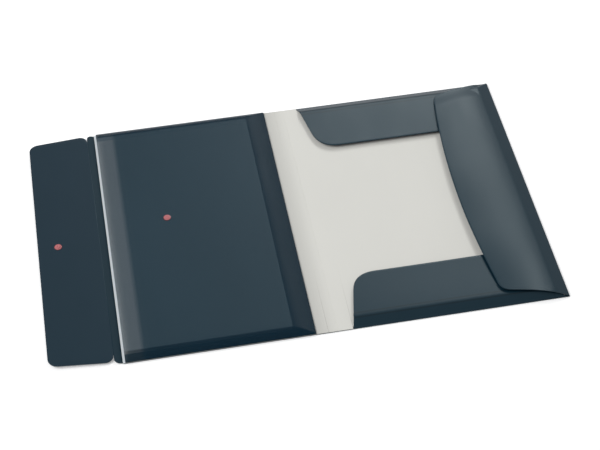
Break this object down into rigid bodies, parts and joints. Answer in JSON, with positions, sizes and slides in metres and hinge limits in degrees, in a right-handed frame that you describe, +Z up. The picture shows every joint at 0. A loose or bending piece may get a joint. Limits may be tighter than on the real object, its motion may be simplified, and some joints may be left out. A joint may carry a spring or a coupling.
{
  "type": "three flap folder",
  "caption": "A4 document folder with a scored spine, flaps over the papers, a translucent pocket and a press-stud closure flap.",
  "frame": {"origin": "on the table under the middle of the spine, halfway up its height", "axes": "+X across the open folder towards the back cover, +Y along the spine towards the top edge, +Z up from the table"},
  "size_m": [0.5251, 0.318, 0.0107],
  "materials": {
    "shell": "soft matte opaque polypropylene sheet, blue grey",
    "lining": "smooth matte pale grey sheet",
    "pocket": "satin translucent dark polypropylene sheet",
    "stud": "glossy coral moulded press stud"
  },
  "bodies": {
    "back": {"back_cover": "shell", "back_lining": "lining"},
    "spine": {"spine": "shell", "spine_lining": "lining"},
    "front": {"front_cover": "shell", "front_lining": "lining", "pocket_panel": "pocket", "pocket_stud_cap": "stud", "pocket_stud_back": "stud"},
    "gusset": {"closure_gusset": "shell"},
    "closure": {"closure_flap": "shell", "closure_stud_cap": "stud", "closure_stud_back": "stud"},
    "side": {"side_flap": "shell"}
  },
  "joints": [
    {"name": "spine_fold", "type": "hinge", "parent": "back", "child": "spine", "pos_m": [0.0125, 0, 0.0012], "axis": [0, 1, 0], "range_deg": [0, 90]},
    {"name": "front_fold", "type": "hinge", "parent": "spine", "child": "front", "pos_m": [-0.0125, 0, 0.0012], "axis": [0, 1, 0], "range_deg": [0, 90]},
    {"name": "gusset_fold", "type": "hinge", "parent": "front", "child": "gusset", "pos_m": [-0.2171, 0, 0.0008], "axis": [0, 1, 0], "range_deg": [0, 75]},
    {"name": "closure_fold", "type": "hinge", "parent": "gusset", "child": "closure", "pos_m": [-0.22498, 0, 0.00306], "axis": [0, 1, 0], "range_deg": [0, 105]},
    {"name": "side_flap_fold", "type": "hinge", "parent": "back", "child": "side", "pos_m": [0.2361, 0, 0.0008], "axis": [0, 1, 0], "range_deg": [0, 155]}
  ],
  "couplings": [
    {"joint": "front_fold", "follows": "spine_fold", "ratio": 1},
    {"joint": "gusset_fold", "follows": "closure_fold", "ratio": 0.71429}
  ]
}
